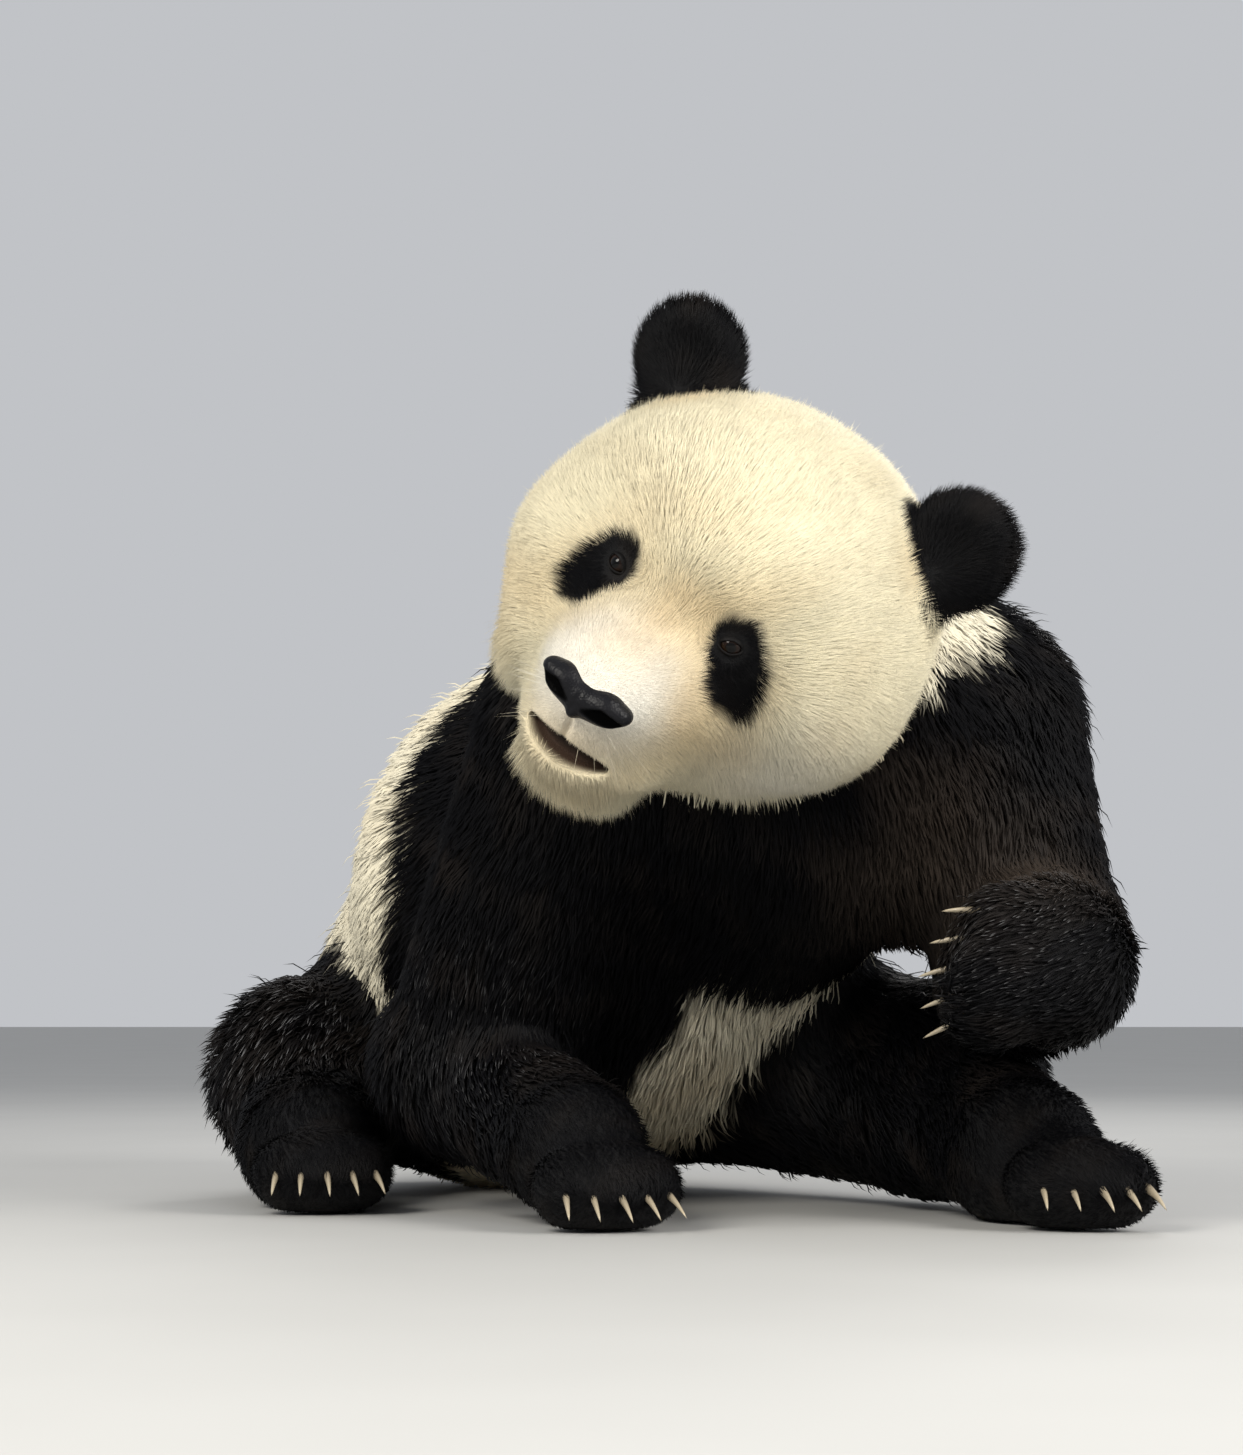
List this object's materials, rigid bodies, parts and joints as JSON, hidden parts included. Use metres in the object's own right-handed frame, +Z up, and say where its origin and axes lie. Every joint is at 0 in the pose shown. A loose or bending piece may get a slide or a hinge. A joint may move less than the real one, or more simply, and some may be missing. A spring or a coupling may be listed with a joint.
{
  "type": "giant panda, still model",
  "caption": "Life-size giant panda sitting on its rump and leaning forward, one forepaw on the floor, the other forearm resting over its knee, head tipped to one side.",
  "frame": {"origin": "middle of the bounding box's footprint, on the floor that the rump, both feet and the right forepaw rest on", "axes": "+Z up; the panda faces -Y, so its own left is towards +X and its tail towards +Y"},
  "size_m": [0.7684, 1.0426, 0.701],
  "materials": {
    "white_fur": "dense cream-white coat, coarse and slightly woolly, warm tan in the shade of the face, matt",
    "black_fur": "dense black coat with a brown cast and a soft grey gloss where light rakes it",
    "claw": "grey-brown horn, paler towards the tip, satin",
    "eye": "dark brown wet eye, glossy",
    "nose": "bare black pebbled skin, moist and half glossy"
  },
  "bodies": {
    "root": {"head": "white_fur", "jaw": "white_fur", "nose": "nose", "ear_right": "black_fur", "ear_left": "black_fur", "eye_right": "eye", "eye_left": "eye", "neck": "white_fur", "trunk": "white_fur", "tail": "white_fur", "foreleg_right": "black_fur", "foreleg_left": "black_fur", "hindleg_right": "black_fur", "hindleg_left": "black_fur", "forepaw_right": "black_fur", "forepaw_left": "black_fur", "foot_right": "black_fur", "foot_left": "black_fur", "claw_forepaw_right_1": "claw", "claw_forepaw_right_2": "claw", "claw_forepaw_right_3": "claw", "claw_forepaw_right_4": "claw", "claw_forepaw_right_5": "claw", "claw_forepaw_left_1": "claw", "claw_forepaw_left_2": "claw", "claw_forepaw_left_3": "claw", "claw_forepaw_left_4": "claw", "claw_forepaw_left_5": "claw", "claw_foot_right_1": "claw", "claw_foot_right_2": "claw", "claw_foot_right_3": "claw", "claw_foot_right_4": "claw", "claw_foot_right_5": "claw", "claw_foot_left_1": "claw", "claw_foot_left_2": "claw", "claw_foot_left_3": "claw", "claw_foot_left_4": "claw", "claw_foot_left_5": "claw"}
  },
  "joints": []
}
